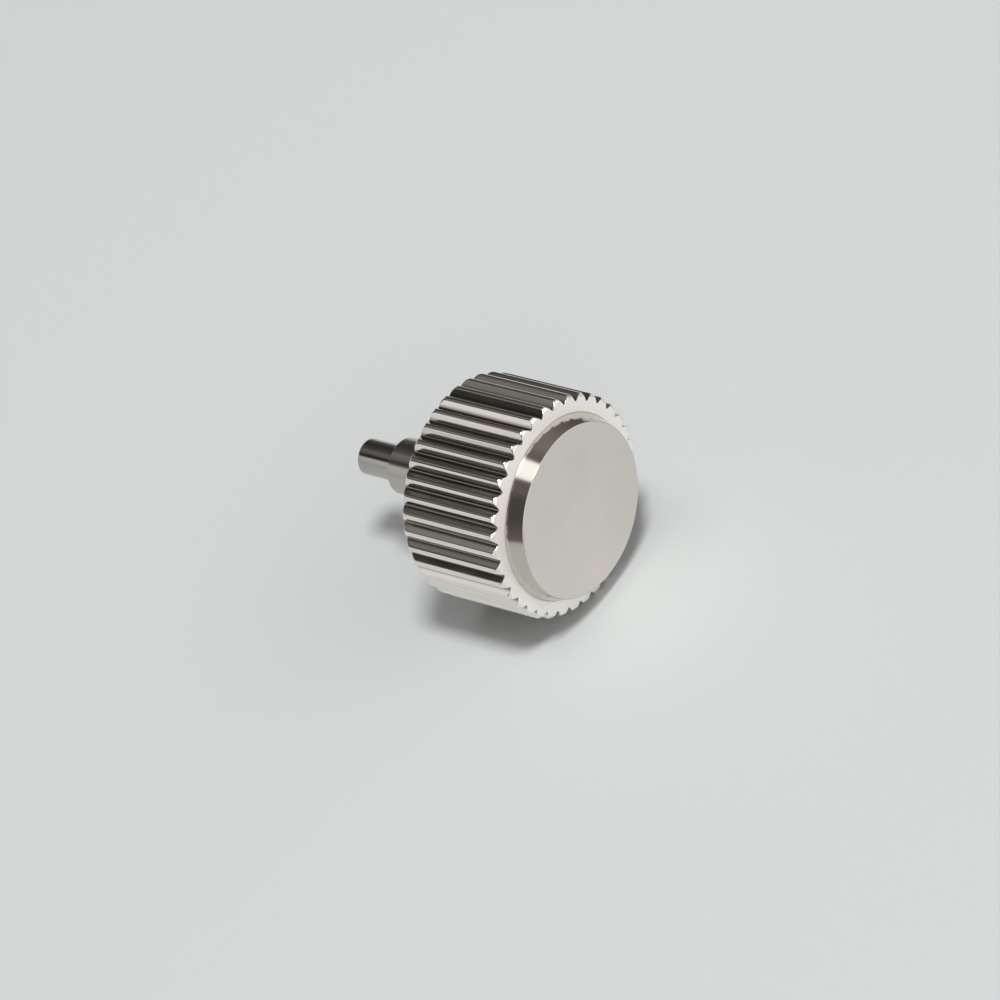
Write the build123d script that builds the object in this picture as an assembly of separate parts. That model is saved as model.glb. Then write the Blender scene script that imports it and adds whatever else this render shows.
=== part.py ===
from build123d import *
from math import cos, hypot, pi, sin
import os

# A screw-down watch crown, drawn screwed down on its case tube. Millimetres.
# +X runs along the winding stem, out of the case. +Z is up with the crown on its side.
# The origin is on the axis, in the plane where the tube's shoulder meets the case.

# Crown shell: fluted barrel, flat front ring and raised boss
crown_radius = 4.0
barrel_length = 4.15
flute_count = 38
flute_depth = 0.265
ridge_radius = 0.08
front_chamfer = 0.12
rear_round = 0.28
rear_step_share = 0.29
ring_width = 0.68
boss_taper = 0.22
boss_height = 0.74
boss_edge_chamfer = 0.05
shell_bore_depth = 3.45
shell_mouth_chamfer = 0.15
spring_recess_radius = 1.05
spring_recess_depth = 0.95

# Threaded insert, pressed into the shell's bore. Its wall is a share of the room between
# the thread and the crown's outside, and the chamfer of its mouth is a share of its wall.
insert_start = 0.50
insert_wall_share = 17 / 39
insert_mouth_share = 4 / 17

# Case tube: barrel in the case, shoulder on it, threaded head in the crown
tube_barrel_radius = 1.00
tube_barrel_length = 3.20
tube_shoulder_radius = 2.30
tube_shoulder_thickness = 0.40
tube_head_radius = 2.00
tube_edge_chamfer = 0.08
tube_floor_thickness = 0.15
seal_section_radius = 0.15
seal_groove_play = 0.02
seal_groove_land = 0.50
seal_flat_share = 0.45

# Stem post: shank through the tube, head with two flats in the sleeve
post_radius = 0.65
post_reach = 1.65
post_edge_chamfer = 0.06
post_head_radius = 0.95
post_head_half_flat = 0.72
post_head_thickness = 0.50
stem_hole_radius = 0.45
stem_hole_depth = 2.40
stem_hole_chamfer = 0.06

# Drive sleeve, pressed into the shell, and the bush that closes it
sleeve_radius = 1.30
sleeve_seat_depth = 0.50
bush_radius = 1.10
bush_thickness = 0.35

# Gasket and washer at the bottom of the shell's bore
gasket_thickness = 0.42
gasket_bore_radius = 1.40
washer_thickness = 0.08

# Spring between the post's head and the shell
spring_wire_diameter = 0.20

# Travel: the crown climbs this far as it is unscrewed
thread_pitch = 0.35
unscrew_turns = 3
rise_stop_gap = 0.10

# Clearances: turning or sliding fits, and small gaps between faces
running_gap = 0.05
face_gap = 0.05
seal_gap = 0.01
overrun = 1.0

# Places along the axis, worked out from the sizes above
boss_face = barrel_length + boss_height
recess_end = shell_bore_depth + spring_recess_depth
washer_start = shell_bore_depth - washer_thickness
gasket_start = washer_start - gasket_thickness
tube_head_end = gasket_start - face_gap
tube_bore_floor = tube_shoulder_thickness + tube_floor_thickness
sleeve_start = tube_bore_floor + 2 * face_gap
sleeve_end = shell_bore_depth + sleeve_seat_depth
bush_end = sleeve_start + bush_thickness
crown_rise = thread_pitch * unscrew_turns
post_head_start = bush_end + crown_rise + rise_stop_gap
post_head_end = post_head_start + post_head_thickness
post_end = tube_barrel_length + post_reach

# Radii that follow from a neighbour
boss_base_radius = crown_radius - ring_width
boss_top_radius = boss_base_radius - boss_taper
sleeve_bore_radius = post_head_radius + running_gap
sleeve_half_flat = post_head_half_flat + running_gap
post_bore_radius = post_radius + running_gap
tube_head_bore_radius = sleeve_radius + running_gap
insert_bore_radius = tube_head_radius + running_gap
insert_wall = (crown_radius - insert_bore_radius) * insert_wall_share
insert_mouth_chamfer = insert_wall * insert_mouth_share
shell_bore_radius = insert_bore_radius + insert_wall
seal_ring_radius = sleeve_radius + seal_gap + seal_section_radius
seal_groove_radius = seal_ring_radius + seal_section_radius + seal_groove_play
seal_groove_width = 2 * (seal_section_radius + seal_groove_play)
outer_seal_place = tube_head_end - seal_groove_land - seal_groove_width / 2
inner_seal_place = outer_seal_place - seal_groove_land - seal_groove_width


def turned(outline):
    """Revolve an outline of (x, radius) points round the X axis."""
    return revolve(make_face(Polyline(*outline, close=True)), Axis.X, revolution_arc=360)


def rod(radius, start, end):
    """A plain cylinder round the X axis."""
    return extrude(Plane.YZ.offset(start) * Circle(radius), end - start)


def ring(inner_radius, outer_radius, start, end):
    """A flat ring round the X axis."""
    return rod(outer_radius, start, end) - rod(inner_radius, start, end)


def double_d(radius, half_flat, start, end):
    """A cylinder round the X axis with two flats."""
    section = Circle(radius) & Rectangle(2 * radius, 2 * half_flat)
    return extrude(Plane.YZ.offset(start) * section, end - start)


def flute_outline():
    """Round flutes and round ridges in turn, each arc tangent to the next."""
    half_pitch = pi / flute_count
    ridge_centre = crown_radius - ridge_radius
    root_radius = crown_radius - flute_depth
    # The flute's arc starts at the root and grows until it touches the ridge's arc.
    ridge_reach = ridge_centre * cos(half_pitch)
    root_to_ridge = hypot(ridge_reach - root_radius, ridge_centre * sin(half_pitch))
    touching = (root_to_ridge**2 - ridge_radius**2) / (ridge_reach + ridge_radius - root_radius)
    flute_radius = touching / 2
    flute_centre = root_radius + flute_radius
    joint_share = ridge_radius / (flute_radius + ridge_radius)

    def polar(radius, angle):
        return Vector(radius * cos(angle), radius * sin(angle))

    def joint(ridge_angle, flute_angle):
        ridge = polar(ridge_centre, ridge_angle)
        flute = polar(flute_centre, flute_angle)
        return ridge + (flute - ridge) * joint_share

    # With an even count a flute faces straight down, so the crown lies on two ridges.
    arcs = []
    for index in range(flute_count):
        flute_angle = half_pitch * (2 * index + flute_count / 2)
        ridge_angle = flute_angle + half_pitch
        flute_start = joint(flute_angle - half_pitch, flute_angle)
        ridge_start = joint(ridge_angle, flute_angle)
        ridge_end = joint(ridge_angle, ridge_angle + half_pitch)
        arcs.append(ThreePointArc(flute_start, polar(root_radius, flute_angle), ridge_start))
        arcs.append(ThreePointArc(ridge_start, polar(crown_radius, ridge_angle), ridge_end))
    return make_face(Wire(arcs))


def crown_blank():
    """The shell before fluting, turned with its eased rear rim and its boss."""
    rear_step = rear_round * rear_step_share
    return turned([
        (0, 0),
        (0, crown_radius - rear_round),
        (rear_step, crown_radius - rear_step),
        (rear_round, crown_radius),
        (barrel_length - front_chamfer, crown_radius),
        (barrel_length, crown_radius - front_chamfer),
        (barrel_length, boss_base_radius),
        (boss_face - boss_edge_chamfer, boss_top_radius),
        (boss_face, boss_top_radius - boss_edge_chamfer),
        (boss_face, 0),
    ])


def crown_shell():
    """The cup: the blank cut to the fluted outline, then bored from the rear."""
    fluted = crown_blank() & extrude(Plane.YZ * flute_outline(), boss_face)
    bore = turned([
        (-overrun, 0),
        (-overrun, shell_bore_radius + overrun + shell_mouth_chamfer),
        (shell_mouth_chamfer, shell_bore_radius),
        (shell_bore_depth, shell_bore_radius),
        (shell_bore_depth, 0),
    ])
    seat = rod(sleeve_radius, shell_bore_depth - overrun, sleeve_end)
    recess = rod(spring_recess_radius, shell_bore_depth - overrun, recess_end)
    return fluted - bore - seat - recess


def threaded_insert():
    """The sleeve pressed into the shell, bored to the thread's crest."""
    return turned([
        (insert_start, insert_bore_radius + insert_mouth_chamfer),
        (insert_start, shell_bore_radius),
        (gasket_start, shell_bore_radius),
        (gasket_start, insert_bore_radius),
        (insert_start + insert_mouth_chamfer, insert_bore_radius),
    ])


def case_tube():
    """Barrel, shoulder and threaded head, with the bores for the post and the sleeve."""
    body = turned([
        (-tube_barrel_length, 0),
        (-tube_barrel_length, tube_barrel_radius - tube_edge_chamfer),
        (tube_edge_chamfer - tube_barrel_length, tube_barrel_radius),
        (0, tube_barrel_radius),
        (0, tube_shoulder_radius),
        (tube_shoulder_thickness - tube_edge_chamfer, tube_shoulder_radius),
        (tube_shoulder_thickness, tube_shoulder_radius - tube_edge_chamfer),
        (tube_shoulder_thickness, tube_head_radius),
        (tube_head_end - tube_edge_chamfer, tube_head_radius),
        (tube_head_end, tube_head_radius - tube_edge_chamfer),
        (tube_head_end, 0),
    ])
    post_bore = rod(post_bore_radius, -tube_barrel_length - overrun, tube_head_end)
    sleeve_bore = rod(tube_head_bore_radius, tube_bore_floor, tube_head_end + overrun)
    tube = body - post_bore - sleeve_bore
    for place in (inner_seal_place, outer_seal_place):
        half_width = seal_groove_width / 2
        tube -= rod(seal_groove_radius, place - half_width, place + half_width)
    return tube


def tube_seal(place):
    """A rubber ring in its groove in the tube's bore, squeezed flat on its four sides."""
    half = seal_section_radius
    flat = half * seal_flat_share
    return turned([
        (place - half, seal_ring_radius - flat),
        (place - flat, seal_ring_radius - half),
        (place + flat, seal_ring_radius - half),
        (place + half, seal_ring_radius - flat),
        (place + half, seal_ring_radius + flat),
        (place + flat, seal_ring_radius + half),
        (place - flat, seal_ring_radius + half),
        (place - half, seal_ring_radius + flat),
    ])


def stem_post():
    """The post: a shank tapped for the stem and a head with two flats."""
    shank = turned([
        (-post_end, 0),
        (-post_end, post_radius - post_edge_chamfer),
        (post_edge_chamfer - post_end, post_radius),
        (post_head_start, post_radius),
        (post_head_start, 0),
    ])
    head = double_d(post_head_radius, post_head_half_flat, post_head_start, post_head_end)
    hole = turned([
        (-post_end - overrun, 0),
        (-post_end - overrun, stem_hole_radius + stem_hole_chamfer + overrun),
        (stem_hole_chamfer - post_end, stem_hole_radius),
        (stem_hole_depth - post_end, stem_hole_radius),
        (stem_hole_depth - post_end + stem_hole_radius, 0),
    ])
    return shank + head - hole


def drive_sleeve():
    """The sleeve whose flats turn the post, counterbored for the bush."""
    body = rod(sleeve_radius, sleeve_start, sleeve_end)
    slot = double_d(sleeve_bore_radius, sleeve_half_flat, sleeve_start, sleeve_end + overrun)
    return body - slot - rod(bush_radius, sleeve_start - overrun, bush_end)


def sleeve_end_bush():
    """The ring that keeps the post's head in the sleeve."""
    return ring(post_bore_radius, bush_radius, sleeve_start, bush_end)


def crown_spring():
    """The space that the compressed spring takes up."""
    spring_radius = post_head_half_flat
    inner_radius = spring_radius - spring_wire_diameter
    return ring(inner_radius, spring_radius, post_head_end, recess_end)


pieces = {
    "crown_shell": crown_shell(),
    "threaded_insert": threaded_insert(),
    "crown_gasket": ring(gasket_bore_radius, shell_bore_radius, gasket_start, washer_start),
    "gasket_washer": ring(gasket_bore_radius, shell_bore_radius, washer_start, shell_bore_depth),
    "drive_sleeve": drive_sleeve(),
    "sleeve_end_bush": sleeve_end_bush(),
    "crown_spring": crown_spring(),
    "stem_post": stem_post(),
    "case_tube": case_tube(),
    "outer_tube_seal": tube_seal(outer_seal_place),
    "inner_tube_seal": tube_seal(inner_seal_place),
}

os.makedirs("parts", exist_ok=True)
for name, piece in pieces.items():
    export_step(piece, f"parts/{name}.step")
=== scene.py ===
import bpy
import numpy as np
from mathutils import Matrix


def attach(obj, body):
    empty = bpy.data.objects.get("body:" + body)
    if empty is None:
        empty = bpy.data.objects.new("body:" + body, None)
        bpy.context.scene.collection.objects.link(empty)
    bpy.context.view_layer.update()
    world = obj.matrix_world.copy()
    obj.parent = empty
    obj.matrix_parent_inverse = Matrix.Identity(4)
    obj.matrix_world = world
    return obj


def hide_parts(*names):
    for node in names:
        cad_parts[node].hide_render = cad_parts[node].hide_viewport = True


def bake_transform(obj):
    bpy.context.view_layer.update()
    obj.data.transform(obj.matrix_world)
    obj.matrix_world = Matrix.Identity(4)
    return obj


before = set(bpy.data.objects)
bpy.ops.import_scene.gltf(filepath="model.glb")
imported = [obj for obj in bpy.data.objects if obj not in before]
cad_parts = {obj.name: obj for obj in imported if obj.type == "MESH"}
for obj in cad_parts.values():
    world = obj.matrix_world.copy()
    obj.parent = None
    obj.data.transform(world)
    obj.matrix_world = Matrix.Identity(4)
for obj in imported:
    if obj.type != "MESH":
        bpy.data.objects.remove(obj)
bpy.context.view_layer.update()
mm = 0.001
fullTurn = 2 * np.pi
print("packed model loaded:", len(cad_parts), "nodes")


# Shapes. All of them are worked out in millimetres round the X axis.


def cornerPoints(steps):
    # What roundedProfile makes of one corner: an arc's points, and one more on each side.
    return steps + 3


def roundedProfile(corners, ends=None, steps=5):
    # A corner (x, radius, rounding) becomes an arc that touches both of its sides, with one more
    # point on each side to keep the flats flat. The profile closes, or else ends gives the points
    # (x, radius) that it comes from and goes on to.
    corners = np.array(corners, float)
    place, rounding = corners[:, :2], corners[:, 2:]
    before, after = np.roll(place, 1, 0), np.roll(place, -1, 0)
    if ends:
        before[0], after[-1] = ends
    toBefore, toAfter = before - place, after - place
    lengthBefore = np.linalg.norm(toBefore, axis=1, keepdims=True)
    lengthAfter = np.linalg.norm(toAfter, axis=1, keepdims=True)
    toBefore, toAfter = toBefore / lengthBefore, toAfter / lengthAfter
    half = np.arccos((toBefore * toAfter).sum(1, keepdims=True).clip(-1, 1)) / 2
    run = rounding / np.tan(half)
    middle = toBefore + toAfter
    middle /= np.linalg.norm(middle, axis=1, keepdims=True)
    centre = place + middle * rounding / np.sin(half)
    start, end = place + toBefore * run - centre, place + toAfter * run - centre
    startAngle = np.arctan2(start[:, 1:], start[:, :1])
    sweep = np.arctan2(end[:, 1:], end[:, :1]) - startAngle
    sweep = (sweep + np.pi) % fullTurn - np.pi
    angle = startAngle + sweep * np.linspace(0, 1, steps + 1)
    arc = centre[:, None] + rounding[:, None] * np.stack([np.cos(angle), np.sin(angle)], -1)
    # The points beside an arc stand off by a share of its rounding, or by a share of the room
    # that the arcs leave on the shorter side, whichever is less.
    roundingShare, roomShare, leastRoom = 0.6, 0.25, 0.02
    room = np.minimum(lengthBefore, lengthAfter) - 2 * run
    hold = roomShare * np.maximum(room, leastRoom * rounding)
    hold = np.minimum(roundingShare * rounding, hold)
    first = arc[:, :1] + (toBefore * hold)[:, None]
    last = arc[:, -1:] + (toAfter * hold)[:, None]
    return np.concatenate([first, arc, last], 1).reshape(-1, 2)


def aroundAxis(x, radius, angle):
    # The points (x, radius cos a, radius sin a).
    x, radius, angle = np.broadcast_arrays(x, radius, angle)
    return np.stack([x, radius * np.cos(angle), radius * np.sin(angle)], -1)


def turned(profile, columns):
    # Every profile point goes round the axis in even steps.
    return aroundAxis(profile[:, :1], profile[:, 1:], np.arange(columns) * fullTurn / columns)


def threadDepth(x, angle, thread):
    # The thread's phase is x over the pitch less the part of a turn. The depth goes 0, 1, 0 in a
    # pitch along straight flanks between a crest and a root, and fades out at both ends.
    steepness = 1.3  # over 1, it leaves a narrow flat on the crests and in the roots
    phase = (x / thread["pitch"] - angle / fullTurn) % 1
    flank = ((np.abs(2 * phase - 1) - 0.5) * steepness + 0.5).clip(0, 1)
    fade = np.minimum(x - thread["start"], thread["end"] - x) / thread["runOut"]
    return thread["depth"] * flank * fade.clip(0, 1)


def makePiece(name, grid, body, node, poles=None, bands=None):
    # Rows of the grid are joined by quads all the way round. With two poles, a fan closes each end
    # at its pole, and without them the last row joins the first. bands gives each row its finish.
    rows, columns = grid.shape[:2]
    row = np.arange(rows if poles is None else rows - 1)[:, None]
    column = np.arange(columns)[None]
    nextRow, nextColumn = (row + 1) % rows, (column + 1) % columns
    quads = np.stack([
        row * columns + column,
        nextRow * columns + column,
        nextRow * columns + nextColumn,
        row * columns + nextColumn,
    ], -1).reshape(-1, 4)
    points = grid.reshape(-1, 3)
    a, b, c, d = (points[quads[:, i]] for i in range(4))
    volume = (np.cross(b, c) * a).sum() + (np.cross(c, d) * a).sum()  # negative: facing inwards
    faces = quads.tolist()
    if poles is not None:
        ring = np.arange(columns)
        following = (ring + 1) % columns
        last = (rows - 1) * columns
        pole = len(points)
        points = np.concatenate([points, np.array(poles, float)])
        faces += np.stack([ring, following, np.full(columns, pole)], -1).tolist()
        faces += np.stack([last + following, last + ring, np.full(columns, pole + 1)], -1).tolist()
    mesh = bpy.data.meshes.new(name)
    mesh.from_pydata((points * mm).tolist(), [], faces)
    if volume < 0:
        mesh.flip_normals()
    mesh.polygons.foreach_set("use_smooth", np.ones(len(faces), bool))
    if bands is not None:
        index = np.repeat(bands[: len(quads) // columns], columns)
        if poles is not None:
            index = np.concatenate([index, np.full(columns, bands[0]), np.full(columns, bands[-1])])
        mesh.polygons.foreach_set("material_index", index.astype(np.int32))
    mesh.update()
    piece = bpy.data.objects.new(name, mesh)
    bpy.context.scene.collection.objects.link(piece)
    if body is not None:
        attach(piece, body)
    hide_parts(node)
    print("made", name, len(faces), "faces")
    return piece


def onAxis(*places):
    return [(place, 0, 0) for place in places]


# Finishes. Object coordinates are in metres, so the scales are per metre.


def newGroup(name, inputs, outputs):
    # An input is a number with its usual value, or a vector where that is None.
    group = bpy.data.node_groups.new(name, "ShaderNodeTree")
    for title, value in inputs.items():
        kind = "NodeSocketVector" if value is None else "NodeSocketFloat"
        socket = group.interface.new_socket(title, in_out="INPUT", socket_type=kind)
        if value is not None:
            socket.default_value = value
    for title in outputs:
        group.interface.new_socket(title, in_out="OUTPUT", socket_type="NodeSocketFloat")
    given, result = group.nodes.new("NodeGroupInput"), group.nodes.new("NodeGroupOutput")
    return group, given.outputs, result.inputs


def groupNode(tree, group, vector, values):
    node = tree.nodes.new("ShaderNodeGroup")
    node.node_tree = group
    tree.links.new(vector, node.inputs["Vector"])
    for title, value in values.items():
        node.inputs[title].default_value = value
    return node.outputs


def feed(tree, socket, value):
    # Another node's output is linked, and a number or colour is set.
    if isinstance(value, bpy.types.NodeSocket):
        tree.links.new(value, socket)
    else:
        socket.default_value = value


def mathNode(tree, operation, *values):
    node = tree.nodes.new("ShaderNodeMath")
    node.operation = operation
    for socket, value in zip(node.inputs, values):
        feed(tree, socket, value)
    return node.outputs[0]


def noiseNode(tree, vector, scale, detail, roughness=0.5):
    node = tree.nodes.new("ShaderNodeTexNoise")
    values = {"Vector": vector, "Scale": scale, "Detail": detail, "Roughness": roughness}
    for title, value in values.items():
        feed(tree, node.inputs[title], value)
    return node.outputs["Fac"]


def rangeNode(tree, value, low, high, toLow=0.0, toHigh=1.0):
    node = tree.nodes.new("ShaderNodeMapRange")
    node.interpolation_type = "SMOOTHSTEP"
    limits = {"Value": value, "From Min": low, "From Max": high, "To Min": toLow, "To Max": toHigh}
    for title, limit in limits.items():
        feed(tree, node.inputs[title], limit)
    return node.outputs["Result"]


def mixNode(tree, share, a, b):
    # Colour a where the share is 0, and b where it is 1.
    node = tree.nodes.new("ShaderNodeMix")
    node.data_type = "RGBA"
    for place, value in ((0, share), (6, a), (7, b)):  # where a Mix node has its colour sockets
        feed(tree, node.inputs[place], value)
    return node.outputs[2]


def axisRadius(tree, vector):
    # A point's place along the X axis and its distance from it.
    parts = tree.nodes.new("ShaderNodeSeparateXYZ")
    tree.links.new(vector, parts.inputs[0])
    across = mathNode(tree, "MULTIPLY", parts.outputs["Y"], parts.outputs["Y"])
    upward = mathNode(tree, "MULTIPLY", parts.outputs["Z"], parts.outputs["Z"])
    return parts.outputs["X"], mathNode(tree, "SQRT", mathNode(tree, "ADD", across, upward))


def buildHandledMetal():
    # Broad cloudy differences in gloss, as handling leaves, and a fine grain for the bump.
    group, given, result = newGroup("handledMetal", {
        "Vector": None, "Cloud Scale": 900.0, "Grain Scale": 30000.0, "Gloss Low": 0.1,
        "Gloss High": 0.2,
    }, ["Roughness", "Cloud", "Height"])
    cloudDetail, cloudRoughness, grainDetail = 3.0, 0.55, 2.0
    spread = 0.3, 0.7  # the noise hardly goes past these
    cloud = noiseNode(group, given["Vector"], given["Cloud Scale"], cloudDetail, cloudRoughness)
    grain = noiseNode(group, given["Vector"], given["Grain Scale"], grainDetail)
    gloss = rangeNode(group, cloud, *spread, given["Gloss Low"], given["Gloss High"])
    group.links.new(gloss, result["Roughness"])
    group.links.new(rangeNode(group, cloud, *spread), result["Cloud"])
    group.links.new(grain, result["Height"])
    return group


def buildToolMarks():
    # Rings that a lathe tool leaves. They follow x plus the radius, so they run round the barrels
    # and round the faces alike. Two noises are added, the second with a third of the marks.
    group, given, result = newGroup("toolMarks", {
        "Vector": None, "Marks Per Metre": 20000.0,
    }, ["Height"])
    place, radius = axisRadius(group, given["Vector"])
    along = mathNode(group, "ADD", place, radius)
    count = mathNode(group, "MULTIPLY", along, given["Marks Per Metre"])
    heights = []
    for share, strength in ((1.0, 0.65), (0.33, 0.35)):
        noise = group.nodes.new("ShaderNodeTexNoise")
        noise.noise_dimensions = "1D"
        noise.inputs["Scale"].default_value = share
        noise.inputs["Detail"].default_value = 1.0
        group.links.new(count, noise.inputs["W"])
        heights.append(mathNode(group, "MULTIPLY", noise.outputs["Fac"], strength))
    group.links.new(mathNode(group, "ADD", *heights), result["Height"])
    return group


def buildGrooveShade():
    # Painted shade that darkens the grooves: 1 at the root radius and below it, easing to 0 at the
    # unshaded radius. The radius is the distance from the X axis.
    group, given, result = newGroup("grooveShade", {
        "Vector": None, "Root Radius": 0.0037, "Unshaded Radius": 0.0039,
    }, ["Mask"])
    radius = axisRadius(group, given["Vector"])[1]
    mask = rangeNode(group, radius, given["Root Radius"], given["Unshaded Radius"], 1.0, 0.0)
    group.links.new(mask, result["Mask"])
    return group


handledMetal = buildHandledMetal()
toolMarks = buildToolMarks()
grooveShade = buildGrooveShade()


def makeFinish(name, look):
    material = bpy.data.materials.new(name)
    material.use_nodes = True
    tree = material.node_tree
    shader = tree.nodes["Principled BSDF"]
    shader.inputs["Metallic"].default_value = look["metallic"]
    place = tree.nodes.new("ShaderNodeTexCoord").outputs["Object"]
    handled = groupNode(tree, handledMetal, place, {
        "Cloud Scale": look["cloudScale"],
        "Grain Scale": look["grainScale"],
        "Gloss Low": look["gloss"][0],
        "Gloss High": look["gloss"][1],
    })
    tree.links.new(handled["Roughness"], shader.inputs["Roughness"])
    colour = mixNode(tree, handled["Cloud"], (*look["colour"], 1), (*look["cloudColour"], 1))
    # Painted shade: the colour darkens towards the roots of the grooves.
    paintedShade = look["paintedShade"]
    if paintedShade:
        shade = groupNode(tree, grooveShade, place, {
            "Root Radius": paintedShade["root"] * mm, "Unshaded Radius": paintedShade["unshaded"] * mm,
        })
        colour = mixNode(tree, shade["Mask"], colour, (*paintedShade["colour"], 1))
    tree.links.new(colour, shader.inputs["Base Color"])
    height = mathNode(tree, "MULTIPLY", handled["Height"], look["grainHeight"])
    if look["marksHeight"]:
        marks = groupNode(tree, toolMarks, place, {"Marks Per Metre": look["marks"]})
        marked = mathNode(tree, "MULTIPLY", marks["Height"], look["marksHeight"])
        height = mathNode(tree, "ADD", height, marked)
    bump = tree.nodes.new("ShaderNodeBump")
    bump.inputs["Strength"].default_value = 1.0
    bump.inputs["Distance"].default_value = 1e-6  # heights are in thousandths of a millimetre
    tree.links.new(height, bump.inputs["Height"])
    tree.links.new(bump.outputs["Normal"], shader.inputs["Normal"])
    return material


# What a look doesn't give, it has from here. gloss is the least and the greatest roughness, and
# the painted shade in the groove roots lies between two radii in millimetres.
commonLook = {
    "metallic": 1.0,
    "cloudScale": 500.0,
    "grainScale": 24000.0,
    "grainHeight": 0.2,
    "marks": 16000.0,
    "marksHeight": 0.0,
    "paintedShade": None,
}
looks = {
    "polishedFlutes": {
        "gloss": (0.11, 0.15), "colour": (0.88, 0.85, 0.81), "cloudColour": (0.85, 0.82, 0.78),
        # Painted shade darkens the flute roots.
        "paintedShade": {"root": 3.745, "unshaded": 3.86, "colour": (0.30, 0.27, 0.23)},
    },
    # The ring's colour is lighter than the flutes' steel: painted light.
    "satinRing": {
        "gloss": (0.56, 0.62), "colour": (0.95, 0.93, 0.90), "cloudColour": (0.93, 0.91, 0.88),
    },
    # The wall's colour is darker than the flutes' steel: painted shade.
    "polishedWall": {
        "gloss": (0.11, 0.15), "colour": (0.60, 0.56, 0.51), "cloudColour": (0.58, 0.54, 0.49),
    },
    "satinDisc": {
        "gloss": (0.28, 0.33), "colour": (0.76, 0.71, 0.67), "cloudColour": (0.73, 0.685, 0.645),
        "grainHeight": 0.4,
    },
    # This steel's colour is darker than the crown's steel, for the darker collar: painted shade.
    "turnedSteel": {
        "gloss": (0.20, 0.27), "colour": (0.50, 0.485, 0.46), "cloudColour": (0.47, 0.455, 0.43),
        "marksHeight": 2.0,
    },
    # The post's colour is darker than the crown's steel: painted shade.
    "polishedPost": {
        "gloss": (0.12, 0.20), "colour": (0.48, 0.465, 0.44), "cloudColour": (0.45, 0.435, 0.41),
        "marksHeight": 0.5,
    },
    "springWire": {
        "gloss": (0.29, 0.36), "colour": (0.50, 0.50, 0.50), "cloudColour": (0.42, 0.41, 0.40),
    },
    "turnedBrass": {
        "gloss": (0.29, 0.36), "colour": (0.78, 0.60, 0.30), "cloudColour": (0.68, 0.50, 0.24),
        "marksHeight": 2.0,
    },
    "blackRubber": {
        "gloss": (0.55, 0.75), "colour": (0.025, 0.025, 0.027),
        "cloudColour": (0.045, 0.045, 0.045), "metallic": 0.0, "grainHeight": 4.0,
        "grainScale": 16000.0,
    },
}
finishes = {name: makeFinish(name, {**commonLook, **look}) for name, look in looks.items()}
print("finishes made:", len(finishes))


def dress(piece, *names):
    for name in names:
        piece.data.materials.append(finishes[name])


# Crown shell


shell = {
    "radius": 4.0,
    "barrelLength": 4.15,
    "fluteCount": 38,
    "fluteDepth": 0.265,
    "ridgeRadius": 0.14,
    "rootRadius": 0.05,
    "frontChamfer": 0.12,
    "rearRound": 0.28,
    "ringEdge": 0.03,
    "cutSoftness": 0.03,
    "bossFace": 4.80,
    "bossTop": 3.13,
    "bossBase": 3.32,
    "bossEdge": 0.05,
    "bossFillet": 0.04,
    "bores": [
        (0.0, 3.05, 0.02), (0.15, 2.90, 0.02), (3.45, 2.90, 0.03), (3.45, 1.30, 0.02),
        (3.95, 1.30, 0.02), (3.95, 1.05, 0.02), (4.40, 1.05, 0.03),
    ],
    "finishes": ("polishedFlutes", "satinRing", "polishedWall", "satinDisc", "turnedSteel"),
    # How finely it is drawn: points to an arc or a straight, and rows as shares of a face's width.
    "rootPoints": 9,
    "ridgePoints": 9,
    "flankPoints": 3,
    "edgePoints": 5,
    "chamferPoints": 9,
    "barrelPoints": 9,
    "rearPoints": 13,
    "ringRows": (0.35, 0.7, 0.94),
    "rearRows": (0.06, 0.35, 0.65, 0.94),
    "boreSteps": 3,
}


def fluteOutline(s):
    # Round roots and round ridges in turn, joined by straight flanks that touch both, as complex
    # numbers y + iz. A flank's normal n is where (ridge centre - root centre) . n = both radii.
    halfPitch = np.pi / s["fluteCount"]
    rootCentre = s["radius"] - s["fluteDepth"] + s["rootRadius"]
    ridgeCentre = (s["radius"] - s["ridgeRadius"]) * np.exp(1j * halfPitch)
    apart = ridgeCentre - rootCentre
    normal = np.angle(apart) + np.arccos((s["rootRadius"] + s["ridgeRadius"]) / np.abs(apart))
    rootTurn = np.linspace(fullTurn - normal, normal, s["rootPoints"])
    ridgeTurn = np.linspace(normal - np.pi, np.pi - normal + 2 * halfPitch, s["ridgePoints"])
    root = rootCentre + s["rootRadius"] * np.exp(1j * rootTurn)
    ridge = ridgeCentre + s["ridgeRadius"] * np.exp(1j * ridgeTurn)
    nextRoot = root[0] * np.exp(2j * halfPitch)
    share = np.linspace(0, 1, s["flankPoints"] + 2)[1:-1]
    rising = root[-1] + (ridge[0] - root[-1]) * share
    falling = ridge[-1] + (nextRoot - ridge[-1]) * share
    turns = np.arange(s["fluteCount"]) * 2 * halfPitch - np.pi / 2  # a flute faces straight down
    period = np.concatenate([root, rising, ridge, falling])
    outline = (np.exp(1j * turns)[:, None] * period).ravel()
    return np.abs(outline), np.unwrap(np.angle(outline))


def softMinimum(a, b, softness):
    # The lesser of two surfaces, with the edge between them eased over the softness.
    share = (0.5 + 0.5 * (b - a) / softness).clip(0, 1)
    return b + (a - b) * share - softness * share * (1 - share)


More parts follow.
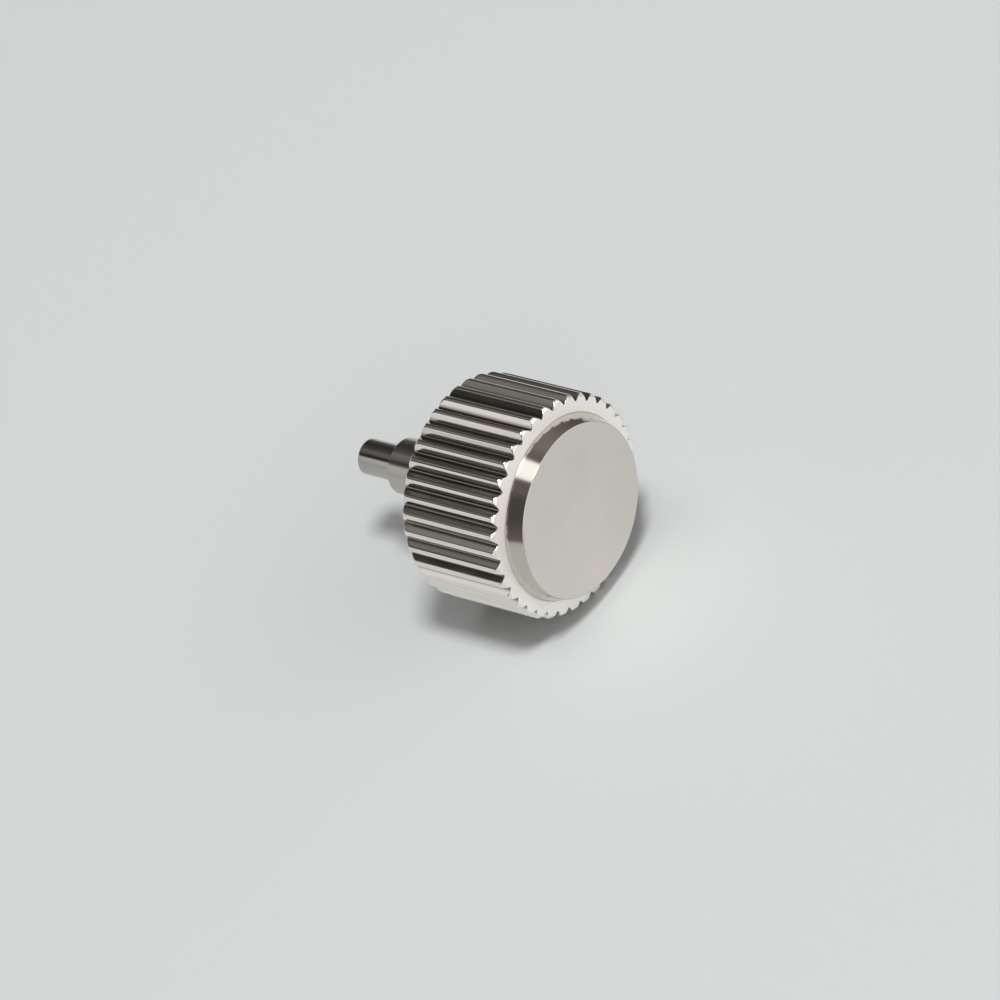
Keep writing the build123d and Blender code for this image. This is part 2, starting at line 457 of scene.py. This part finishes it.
def crownShellGrid(s):
    # From the front: the boss by its profile, the ring from the boss to the fluted edge, the edge
    # and its chamfer, the flutes, the rounded rear, the rear face, and the bores by their profile.
    # The barrel's radius is the lesser of the turned blank's and the flutes', less an inset that
    # rounds its front edge.
    outline, angles = fluteOutline(s)
    length, edge, bores = s["barrelLength"], s["ringEdge"], s["bores"]
    front = roundedProfile([
        (s["bossFace"], s["bossTop"], s["bossEdge"]), (length, s["bossBase"], s["bossFillet"]),
    ], ends=((s["bossFace"], 0), (length, s["radius"])))
    edgeTurn = np.linspace(0, np.pi / 2, s["edgePoints"])
    rearTurn = np.linspace(0, np.pi / 2, s["rearPoints"])
    chamferEnd = length - s["frontChamfer"] - edge
    x = np.concatenate([
        length - edge + edge * np.cos(edgeTurn),
        np.linspace(length - edge, chamferEnd, s["chamferPoints"])[1:],
        np.linspace(chamferEnd, s["rearRound"], s["barrelPoints"])[1:-1],
        s["rearRound"] * (1 - np.sin(rearTurn)),
    ])
    blank = np.minimum(s["radius"], s["radius"] - s["frontChamfer"] + length - x)
    blank[-len(rearTurn) :] = s["radius"] - s["rearRound"] * (1 - np.cos(rearTurn))
    inset = np.zeros(len(x))
    inset[: len(edgeTurn)] = edge * (1 - np.sin(edgeTurn))
    barrel = softMinimum(blank[:, None], outline, s["cutSoftness"]) - inset[:, None]
    ringRows, rearRows = np.array(s["ringRows"])[:, None], np.array(s["rearRows"])[:, None]
    ring = front[-1, 1] + (barrel[0] - front[-1, 1]) * ringRows
    rear = barrel[-1] + (bores[0][1] - barrel[-1]) * rearRows
    inside = roundedProfile(bores, ((0, s["radius"]), (bores[-1][0], 0)), s["boreSteps"])[1:]
    grid = np.concatenate([
        aroundAxis(front[:, :1], front[:, 1:], angles),
        aroundAxis(length, ring, angles),
        aroundAxis(x[:, None], barrel, angles),
        aroundAxis(0, rear, angles),
        aroundAxis(inside[:, :1], inside[:, 1:], angles),
    ])
    barrelStart = len(front) + len(ring)
    band = s["finishes"].index
    bands = np.full(len(grid), band("polishedFlutes"))
    bands[:2] = band("satinDisc")  # up to where the boss's edge starts to bend
    bands[2 : len(front) - 2] = band("polishedWall")
    bands[len(front) - 2 : barrelStart] = band("satinRing")
    bands[barrelStart + len(x) - 1 :] = band("turnedSteel")  # the rear face and the bores
    return grid, bands


shellGrid, shellBands = crownShellGrid(shell)
shellPoles = onAxis(shell["bossFace"], shell["bores"][-1][0])
flutedShell = makePiece(
    "flutedShell", shellGrid, "crown", "crown_shell", shellPoles, shellBands
)
dress(flutedShell, *shell["finishes"])


# Threaded pieces


def threadedGrid(piece, steps=3):
    # The cylinder after the named corner gets even rows for its thread. An outside thread leaves
    # the lesser of the profile and the thread, and an inside one the greater of its mouth's cone
    # and the thread, also on the rows of the corners before and after that the thread reaches.
    run, thread, perCorner = piece["run"], piece["thread"], cornerPoints(steps)
    profile = roundedProfile(piece["profile"], piece.get("ends"), steps)
    at = (run["corner"] + 1) * perCorner
    share = np.linspace(0, 1, run["rows"])[1:-1, None]
    extra = profile[at - 1] + (profile[at] - profile[at - 1]) * share
    profile = np.concatenate([profile[:at], extra, profile[at:]])
    reached = slice(at - run["before"] * perCorner, at + len(extra) + run["after"] * perCorner)
    angle = np.arange(piece["columns"]) * fullTurn / piece["columns"]
    x, radius = profile[reached, :1], profile[reached, 1:]
    cut = thread["radius"] - threadDepth(x, angle, thread)
    if "mouth" in run:
        coneX, coneRadius = run["mouth"]
        cut = np.maximum(cut, coneRadius - np.abs(x - coneX))
    else:
        cut = np.minimum(cut, radius)
    grid = turned(profile, piece["columns"])
    grid[reached] = aroundAxis(x, cut, angle)
    return grid


def flattened(grid, flats):
    # Two flats: where a point lies between the inner and outer radius and past the start along x,
    # its radius becomes at most the half width over |sin a|, so that z stays within that half.
    radius = np.hypot(grid[..., 1], grid[..., 2])
    reach = flats["half"] / np.abs(grid[..., 2] / radius).clip(1e-6)
    within = (radius > flats["inner"]) & (radius < flats["outer"]) & (grid[..., 0] > flats["start"])
    grid[..., 1:] *= np.where(within, np.minimum(1, reach / radius), 1)[..., None]
    return grid


# A thread with no limit at one end runs out through that end of its piece.
tube = {
    "columns": 240,
    "thread": {
        "pitch": 0.35, "depth": 0.20, "radius": 2.00, "start": 0.50, "end": np.inf, "runOut": 0.12,
    },
    "run": {"corner": 7, "rows": 120, "before": 0, "after": 2},
    "profile": [
        (-3.20, 0.70, 0.03), (-3.20, 0.92, 0.02), (-3.12, 1.00, 0.02), (0.0, 1.00, 0.03),
        (0.0, 2.30, 0.04), (0.32, 2.30, 0.02), (0.40, 2.22, 0.02), (0.40, 2.00, 0.02),
        (2.82, 2.00, 0.02), (2.90, 1.92, 0.02), (2.90, 1.35, 0.04),
        (2.40, 1.35, 0.02), (2.40, 1.63, 0.02), (2.06, 1.63, 0.02), (2.06, 1.35, 0.02),
        (1.56, 1.35, 0.02), (1.56, 1.63, 0.02), (1.22, 1.63, 0.02), (1.22, 1.35, 0.02),
        (0.55, 1.35, 0.02), (0.55, 0.70, 0.02),
    ],
}
threadedTube = makePiece("threadedTube", threadedGrid(tube), "tube", "case_tube")
dress(threadedTube, "turnedSteel")

insert = {
    "columns": 240,
    "thread": {
        "pitch": 0.35, "depth": 0.20, "radius": 2.05, "start": -np.inf, "end": 2.90, "runOut": 0.12,
    },
    "run": {"corner": 1, "rows": 120, "before": 1, "after": 0, "mouth": (0.50, 2.25)},
    "profile": [
        (0.50, 2.25, 0.02), (0.70, 2.05, 0.02), (2.95, 2.05, 0.02), (2.95, 2.90, 0.03),
        (0.50, 2.90, 0.03),
    ],
}
tappedInsert = makePiece(
    "tappedInsert", threadedGrid(insert), "crown", "threaded_insert"
)
dress(tappedInsert, "turnedSteel")

post = {
    "columns": 192,
    "thread": {
        "pitch": 0.225, "depth": 0.12, "radius": 0.45, "start": -np.inf, "end": -2.70,
        "runOut": 0.2,
    },
    "run": {"corner": 0, "rows": 100, "before": 0, "after": 1, "mouth": (-4.85, 0.51)},
    "ends": ((-2.0, 0), (2.65, 0)),
    "flats": {"half": 0.72, "inner": 0.70, "outer": 1.2, "start": 2.1},
    "profile": [
        (-2.45, 0.45, 0.02), (-4.79, 0.45, 0.01), (-4.85, 0.51, 0.01), (-4.85, 0.65, 0.10),
        (2.15, 0.65, 0.03), (2.15, 0.95, 0.03), (2.65, 0.95, 0.06),
    ],
}
postGrid = flattened(threadedGrid(post), post["flats"])
postPoles = onAxis(*(x for x, radius in post["ends"]))
stemPost = makePiece("stemPost", postGrid, "post", "stem_post", postPoles)
dress(stemPost, "polishedPost")


# Plain turned pieces inside the crown


innerPieces = {
    "driveSleeve": {
        "node": "drive_sleeve", "slot": "inner_steel", "finish": "turnedSteel", "columns": 192,
        "flats": {"half": 0.77, "inner": 0.90, "outer": 1.06, "start": 0.9},
        "profile": [
            (0.65, 1.10, 0.02), (0.65, 1.30, 0.03), (3.95, 1.30, 0.04), (3.95, 1.00, 0.03),
            (1.00, 1.00, 0.02), (1.00, 1.10, 0.01),
        ],
    },
    "endBush": {
        "node": "sleeve_end_bush", "slot": "bush_brass", "finish": "turnedBrass", "columns": 128,
        "profile": [
            (0.65, 0.70, 0.03), (0.65, 1.10, 0.02), (1.00, 1.10, 0.02), (1.00, 0.70, 0.03),
        ],
    },
    "crownGasket": {
        "node": "crown_gasket", "slot": "seal_rubber", "finish": "blackRubber", "columns": 160,
        "profile": [
            (2.95, 1.40, 0.08), (2.95, 2.90, 0.08), (3.37, 2.90, 0.08), (3.37, 1.40, 0.08),
        ],
    },
    "gasketWasher": {
        "node": "gasket_washer", "slot": "inner_steel", "finish": "turnedSteel", "columns": 160,
        "profile": [
            (3.37, 1.40, 0.02), (3.37, 2.90, 0.02), (3.45, 2.90, 0.02), (3.45, 1.40, 0.02),
        ],
    },
}
for name, piece in innerPieces.items():
    pieceGrid = turned(roundedProfile(piece["profile"], steps=4), piece["columns"])
    if "flats" in piece:
        pieceGrid = flattened(pieceGrid, piece["flats"])
    dress(makePiece(name, pieceGrid, "crown", piece["node"]), piece["finish"])

seals = {
    "ringRadius": 1.46,
    "section": 0.15,
    "steps": 28,
    "columns": 128,
    "places": {"outerSeal": ("outer_tube_seal", 2.23), "innerSeal": ("inner_tube_seal", 1.39)},
}
sealTurn = np.arange(seals["steps"]) * fullTurn / seals["steps"]
for name, (node, place) in seals["places"].items():
    section = np.stack([
        place + seals["section"] * np.cos(sealTurn),
        seals["ringRadius"] + seals["section"] * np.sin(sealTurn),
    ], -1)
    sealGrid = turned(section, seals["columns"])
    dress(makePiece(name, sealGrid, "tube", node), "blackRubber")


# Spring


spring = {
    "start": 2.65,
    "end": 4.40,
    "radius": 0.62,
    "wire": 0.10,
    "turns": 6.5,
    "closedTurns": 1.0,
    "groundTo": 0.6,  # the share of the wire's radius that is left beyond its middle at the ends
    "stepsPerTurn": 48,
    "sectionSteps": 14,
}


def springGrid(s):
    # The wire's middle runs round at a fixed radius. Along x it climbs one wire's thickness in
    # each closed end turn and evenly between them. The section is a circle square to the path,
    # and both end turns are ground flat where they pass the spring's ends.
    turns = np.linspace(0, s["turns"], int(s["turns"] * s["stepsPerTurn"]) + 1)
    low, high = s["start"] + s["wire"] * s["groundTo"], s["end"] - s["wire"] * s["groundTo"]
    closedRise = 2 * s["wire"] * s["closedTurns"]
    places = [0, s["closedTurns"], s["turns"] - s["closedTurns"], s["turns"]]
    x = np.interp(turns, places, [low, low + closedRise, high - closedRise, high])
    angle = turns * fullTurn
    path = aroundAxis(x, s["radius"], angle)
    along = np.gradient(path, axis=0)
    along /= np.linalg.norm(along, axis=1, keepdims=True)
    outward = aroundAxis(0, 1, angle)
    beside = np.cross(along, outward)
    section = np.arange(s["sectionSteps"])[:, None] * fullTurn / s["sectionSteps"]
    grid = path[:, None] + s["wire"] * (
        outward[:, None] * np.cos(section) + beside[:, None] * np.sin(section)
    )
    grid[..., 0] = grid[..., 0].clip(s["start"], s["end"])
    return grid, path[[0, -1]]


coilGrid, coilEnds = springGrid(spring)
coilSpring = makePiece("coilSpring", coilGrid, None, "crown_spring", coilEnds)
dress(coilSpring, "springWire")
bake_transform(coilSpring)


# Floor, camera and light


def unit(vector):
    return np.array(vector) / np.linalg.norm(vector)


def placeFacing(thing, right, upward, backward, place):
    # A camera or lamp looks against its third axis.
    placed = np.eye(4)
    placed[:3, 0], placed[:3, 1], placed[:3, 2], placed[:3, 3] = right, upward, backward, place
    thing.matrix_world = Matrix(placed.tolist())


camera = {
    "toCamera": (0.6089, -0.4696, 0.6392),
    "right": (0.7682, 0.5499, -0.3278),
    "looksAt": (0.8016, 0.0820, -0.7033),
    "distance": 250.0,
    "lens": 258.9,
    "sensor": 36.0,
    "clip": (0.01, 10.0),
}
toCamera = unit(camera["toCamera"])
right = np.array(camera["right"])
right = unit(right - right @ toCamera * toCamera)
view = bpy.data.cameras.new("view")
view.lens = camera["lens"]
view.sensor_width = camera["sensor"]
view.clip_start, view.clip_end = camera["clip"]
eye = bpy.data.objects.new("view", view)
bpy.context.scene.collection.objects.link(eye)
eyePlace = (np.array(camera["looksAt"]) + toCamera * camera["distance"]) * mm
placeFacing(eye, right, np.cross(toCamera, right), toCamera, eyePlace)
bpy.context.scene.camera = eye

floorLook = {
    "height": -3.9868,
    "halfSide": 900.0,
    "colour": (0.528, 0.545, 0.543),
    "roughness": 0.9,
    "specular": 0.1,
}
far, down = floorLook["halfSide"] * mm, floorLook["height"] * mm
floorCorners = [(-far, -far, down), (far, -far, down), (far, far, down), (-far, far, down)]
floorMesh = bpy.data.meshes.new("floor")
floorMesh.from_pydata(floorCorners, [], [(0, 1, 2, 3)])
floor = bpy.data.objects.new("floor", floorMesh)
bpy.context.scene.collection.objects.link(floor)
paper = bpy.data.materials.new("paleFloor")
paper.use_nodes = True
paperShader = paper.node_tree.nodes["Principled BSDF"]
paperShader.inputs["Base Color"].default_value = (*floorLook["colour"], 1)
paperShader.inputs["Roughness"].default_value = floorLook["roughness"]
paperShader.inputs["Specular IOR Level"].default_value = floorLook["specular"]
floorMesh.materials.append(paper)

lamps = {
    "keyLamp": {"from": (0.32, -0.10, 0.94), "away": 600.0, "size": 130.0, "strength": 2.4},
    "backLamp": {"from": (-0.33, -0.13, 0.93), "away": 600.0, "size": 150.0, "strength": 0.15},
}


def addLamp(name, lamp):
    # The strength is what the lamp adds to a white floor's brightness, so its power is the
    # strength times pi times the distance squared.
    away = lamp["away"] * mm
    data = bpy.data.lights.new(name, "AREA")
    data.shape = "DISK"
    data.size = lamp["size"] * mm
    data.energy = lamp["strength"] * np.pi * away**2
    thing = bpy.data.objects.new(name, data)
    bpy.context.scene.collection.objects.link(thing)
    toLamp = unit(lamp["from"])
    across = unit(np.cross((0, 1, 0), toLamp))
    placeFacing(thing, across, np.cross(toLamp, across), toLamp, toLamp * away)


for name, lamp in lamps.items():
    addLamp(name, lamp)

room = {
    "warmth": 0.07,
    # Brightness by the angle round the X axis, from the +Y side (0) over the top to the -Y
    # side (1), as the rear and the sides of the piece see it.
    "rear": [(0.0, 0.10), (0.10, 0.12), (0.22, 0.04), (0.42, 0.08), (0.54, 0.20), (0.62, 0.17),
             (0.68, 0.03), (0.75, 0.02), (0.785, 0.78), (0.90, 0.70), (1.0, 0.60)],
    "side": [(0.0, 0.10), (0.36, 0.26), (0.475, 0.14), (0.49, 1.6), (0.60, 1.6), (0.615, 0.12),
             (0.68, 0.16), (0.74, 0.09), (0.84, 0.09), (1.0, 0.16)],
    # Brightness by height alone, from the table's edge (0) to straight up (1).
    "front": [(0.0, 1.15), (0.60, 1.20), (0.80, 0.40)],
    # Where one passes into the next, by how far a direction points along the X axis.
    "rearToSide": (-0.44, -0.36),
    "sideToFront": (0.15, 0.50),
}


def roomRamp(tree, value, stops):
    # Greys that are warmer the further they are below a brightness of 1.
    ramp = tree.nodes.new("ShaderNodeValToRGB")
    elements = ramp.color_ramp.elements
    while len(elements) < len(stops):
        elements.new(0.5)
    for element, (position, level) in zip(elements, stops):
        element.position = position
        warmth = room["warmth"] * max(0, 1 - level)
        element.color = (level, level * (1 - warmth), level * (1 - 2 * warmth), 1)
    ramp.color_ramp.interpolation = "EASE"
    tree.links.new(value, ramp.inputs["Fac"])
    return ramp.outputs["Color"]


world = bpy.data.worlds.new("room")
bpy.context.scene.world = world
world.use_nodes = True
roomTree = world.node_tree
toward = roomTree.nodes.new("ShaderNodeSeparateXYZ")
roomTree.links.new(roomTree.nodes.new("ShaderNodeTexCoord").outputs["Generated"], toward.inputs[0])
halfTurns = mathNode(roomTree, "ARCTAN2", toward.outputs["Z"], toward.outputs["Y"])
halfTurns = mathNode(roomTree, "DIVIDE", halfTurns, np.pi)
rear = roomRamp(roomTree, halfTurns, room["rear"])
side = roomRamp(roomTree, halfTurns, room["side"])
front = roomRamp(roomTree, toward.outputs["Z"], room["front"])
rearToSide = rangeNode(roomTree, toward.outputs["X"], *room["rearToSide"])
sideToFront = rangeNode(roomTree, toward.outputs["X"], *room["sideToFront"])
light = mixNode(roomTree, sideToFront, mixNode(roomTree, rearToSide, rear, side), front)
roomTree.links.new(light, roomTree.nodes["Background"].inputs["Color"])
bpy.context.scene.view_settings.view_transform = "Standard"
print("floor, camera and lamps placed")
